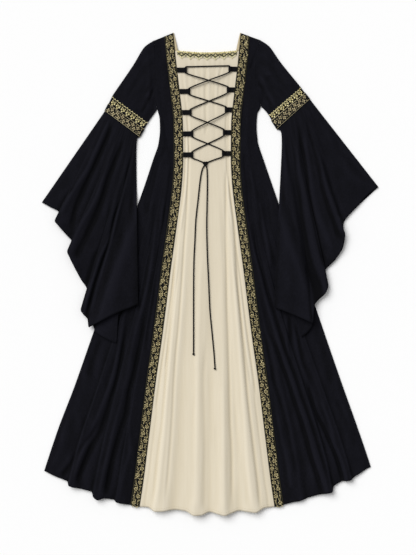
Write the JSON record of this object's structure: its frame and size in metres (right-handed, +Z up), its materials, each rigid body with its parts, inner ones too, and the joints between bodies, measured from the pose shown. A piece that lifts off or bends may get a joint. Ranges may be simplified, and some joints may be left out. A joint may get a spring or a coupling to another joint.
{
  "type": "medieval gown, laid flat",
  "caption": "Long laced gown laid flat, front up: black cloth with a cream centre front, gold woven trims, wide bell sleeves and a black lacing with two free tails.",
  "frame": {"origin": "on the underside of the back panel, on the gown's centre line", "axes": "+Y towards the shoulders, +X towards the picture's right, +Z up out of the gown's front"},
  "size_m": [1.026, 1.4707, 0.0307],
  "materials": {
    "black_cloth": "matt, softly napped black cloth",
    "cream_cloth": "matt cream crepe",
    "flower_trim": "woven ribbon, dull gold flowers on black",
    "gold_lace": "gold metallic thread lace",
    "black_cord": "round braided black cord",
    "black_ribbon": "black grosgrain ribbon"
  },
  "bodies": {
    "root": {"arm_lace_back_left": "gold_lace", "arm_lace_back_right": "gold_lace", "arm_lace_front_left": "gold_lace", "arm_lace_front_right": "gold_lace", "arm_ribbon_left": "flower_trim", "arm_ribbon_right": "flower_trim", "back_panel": "black_cloth", "bell_left": "black_cloth", "bell_right": "black_cloth", "centre_panel": "cream_cloth", "lace_loop_left_1": "black_ribbon", "lace_loop_left_2": "black_ribbon", "lace_loop_left_3": "black_ribbon", "lace_loop_left_4": "black_ribbon", "lace_loop_left_5": "black_ribbon", "lace_loop_right_1": "black_ribbon", "lace_loop_right_2": "black_ribbon", "lace_loop_right_3": "black_ribbon", "lace_loop_right_4": "black_ribbon", "lace_loop_right_5": "black_ribbon", "lacing": "black_cord", "lacing_knot": "black_cord", "neck_facing_left": "cream_cloth", "neck_facing_right": "cream_cloth", "neck_lace": "gold_lace", "side_panel_left": "black_cloth", "side_panel_right": "black_cloth", "sleeve_left": "black_cloth", "sleeve_right": "black_cloth", "tail_knot_left": "black_cord", "tail_knot_right": "black_cord", "tail_left": "black_cord", "tail_right": "black_cord", "trim_left": "flower_trim", "trim_right": "flower_trim"}
  },
  "joints": []
}
